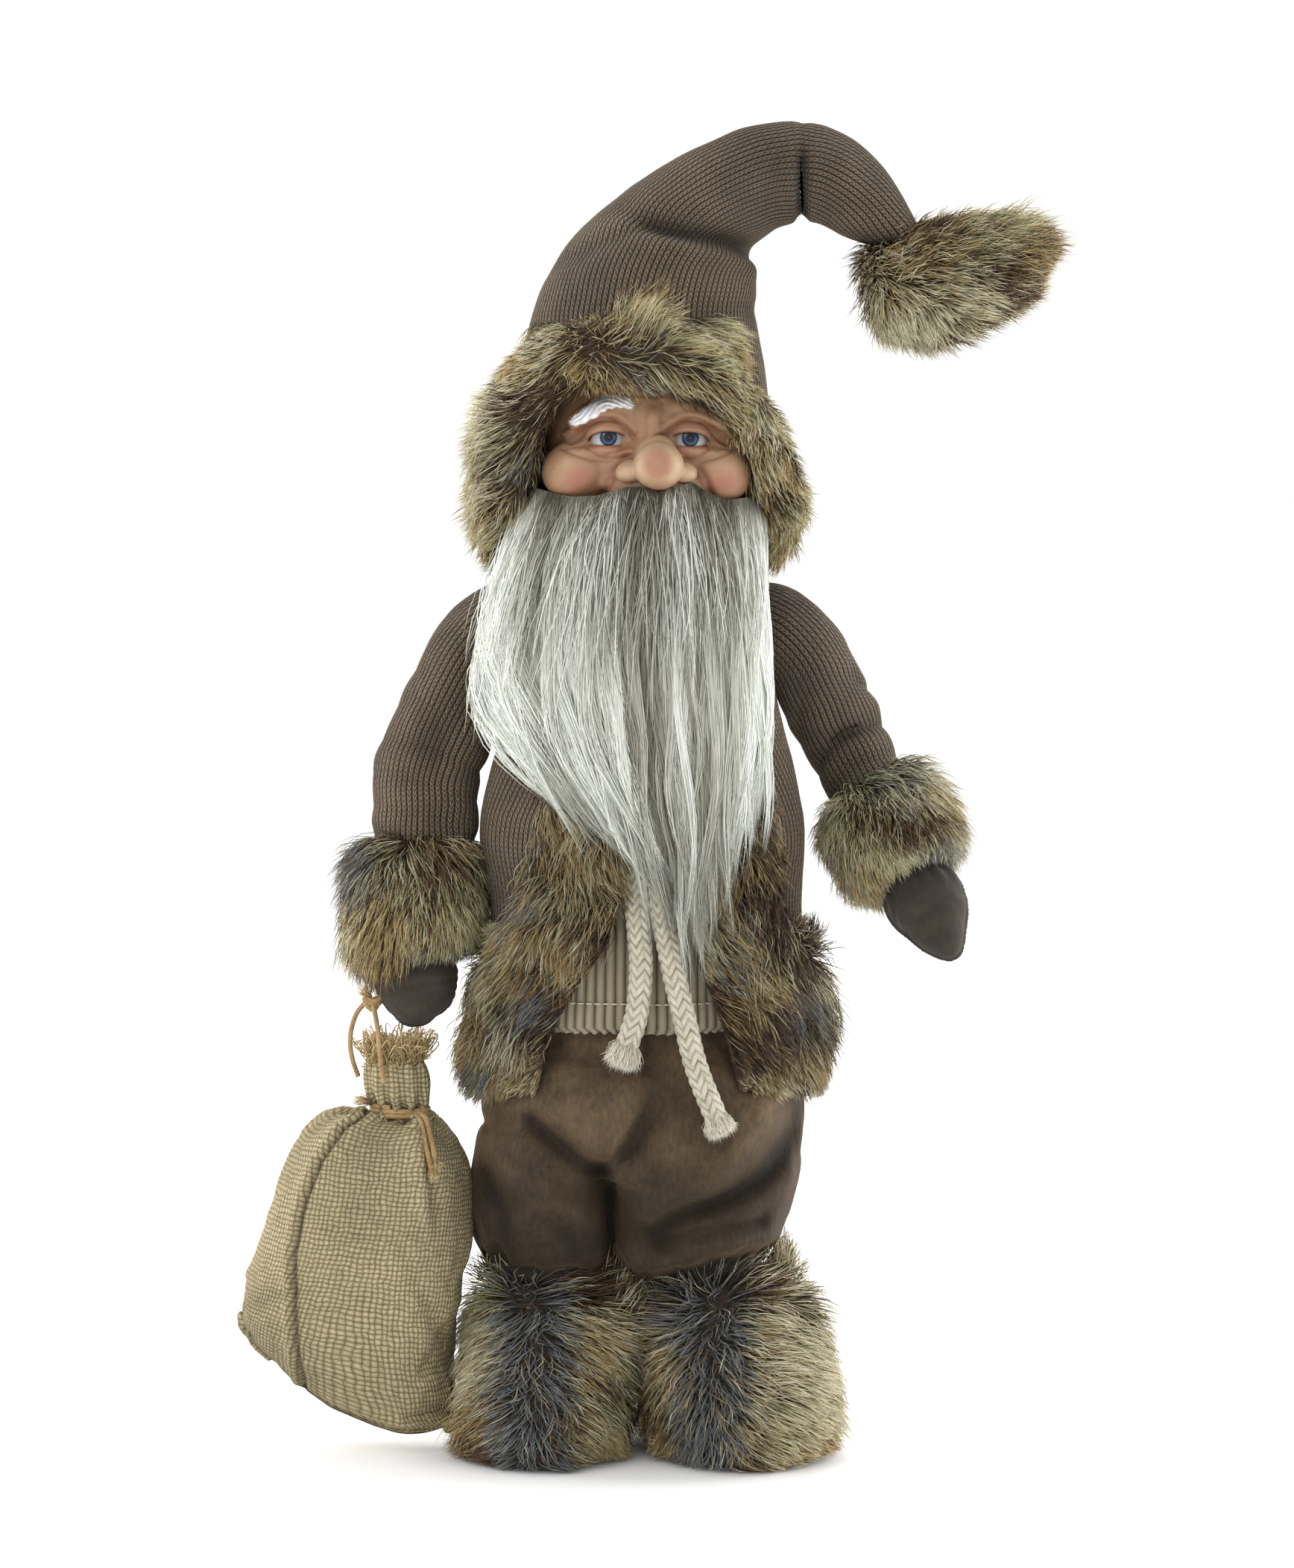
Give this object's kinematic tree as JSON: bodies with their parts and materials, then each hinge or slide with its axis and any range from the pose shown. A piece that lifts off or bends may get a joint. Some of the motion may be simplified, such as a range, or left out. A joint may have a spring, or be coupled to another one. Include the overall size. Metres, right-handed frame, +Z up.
{
  "type": "christmas gnome figurine",
  "caption": "Standing bearded gnome figurine with an arched stocking hat, fur-trimmed jacket, posable wired arms and a burlap sack.",
  "frame": {"origin": "on the floor under the middle of the figurine's outline, sack and hat tassel included", "axes": "+Z up; the figure faces -Y; +X is to the right of someone looking at its face"},
  "size_m": [0.299, 0.1226, 0.4999],
  "materials": {
    "fur": "long-pile mottled faux fur",
    "knit": "ribbed knit",
    "plush": "short-pile plush",
    "mitten": "brushed suede cloth",
    "corduroy": "corduroy",
    "cotton": "braided cotton",
    "burlap": "plain-weave burlap",
    "jute": "twisted jute",
    "hair": "long straight faux hair",
    "resin": "painted satin resin",
    "foam": "plain foam",
    "wadding": "loose polyester wadding",
    "ballast": "sewn cotton bag of pellets",
    "post_wood": "bare dowel",
    "wire": "bare wire",
    "board": "pressed board"
  },
  "bodies": {
    "figure": {"sole_left": "board", "sole_right": "board", "boot_left": "fur", "boot_right": "fur", "leg_post_left": "post_wood", "leg_post_right": "post_wood", "trousers": "plush", "ballast_bag": "ballast", "torso_core": "foam", "neck_post": "post_wood", "shirt": "corduroy", "jacket": "knit", "jacket_fur_left": "fur", "jacket_fur_right": "fur", "jacket_fur_back": "fur", "drawcord_left": "cotton", "drawcord_right": "cotton", "head_core": "foam", "face_mask": "resin", "beard": "hair", "hat_fur_brim": "fur", "hat_crown": "knit"},
    "upper_arm_left": {"sleeve_upper_left": "knit", "arm_wire_upper_left": "wire"},
    "forearm_left": {"sleeve_lower_left": "knit", "arm_wire_lower_left": "wire", "cuff_left": "fur", "mitten_left": "mitten"},
    "upper_arm_right": {"sleeve_upper_right": "knit", "arm_wire_upper_right": "wire"},
    "forearm_right": {"sleeve_lower_right": "knit", "arm_wire_lower_right": "wire", "cuff_right": "fur", "mitten_right": "mitten"},
    "twine_knot": {"twine_knot": "jute"},
    "sack": {"sack": "burlap", "sack_filling": "wadding", "sack_tie": "jute", "sack_twine_outer": "jute", "sack_twine_front": "jute"},
    "hat_middle": {"hat_middle": "knit", "hat_wire_lower": "wire"},
    "hat_tip": {"hat_tip": "knit", "hat_wire_upper": "wire", "hat_pom": "fur"}
  },
  "joints": [
    {"name": "shoulder_left", "type": "hinge", "parent": "figure", "child": "upper_arm_left", "pos_m": [-0.06, 0.0084, 0.303], "axis": [-1, 0, 0], "range_deg": [-15, 35]},
    {"name": "elbow_left", "type": "hinge", "parent": "upper_arm_left", "child": "forearm_left", "pos_m": [-0.085, 0.0114, 0.26], "axis": [-1, 0, 0], "range_deg": [-10, 40]},
    {"name": "shoulder_right", "type": "hinge", "parent": "figure", "child": "upper_arm_right", "pos_m": [0.055, 0.0084, 0.303], "axis": [-1, 0, 0], "range_deg": [-15, 30]},
    {"name": "elbow_right", "type": "hinge", "parent": "upper_arm_right", "child": "forearm_right", "pos_m": [0.074, 0.0304, 0.27], "axis": [-0.8802, 0.0525, -0.4717], "range_deg": [-30, 15]},
    {"name": "sack_swing", "type": "hinge", "parent": "forearm_left", "child": "twine_knot", "pos_m": [-0.1026, -0.0066, 0.172], "axis": [-1, 0, 0], "range_deg": [-25, 25]},
    {"name": "sack_lean", "type": "hinge", "parent": "twine_knot", "child": "sack", "pos_m": [-0.1026, -0.0066, 0.172], "axis": [0, 1, 0], "range_deg": [0, 20]},
    {"name": "hat_bend", "type": "hinge", "parent": "figure", "child": "hat_middle", "pos_m": [0.018, 0.0064, 0.458], "axis": [0, 1, 0], "range_deg": [-18, 15]},
    {"name": "hat_tip_bend", "type": "hinge", "parent": "hat_middle", "child": "hat_tip", "pos_m": [0.069, 0.0064, 0.48], "axis": [0, 1, 0], "range_deg": [-25, 20]}
  ]
}
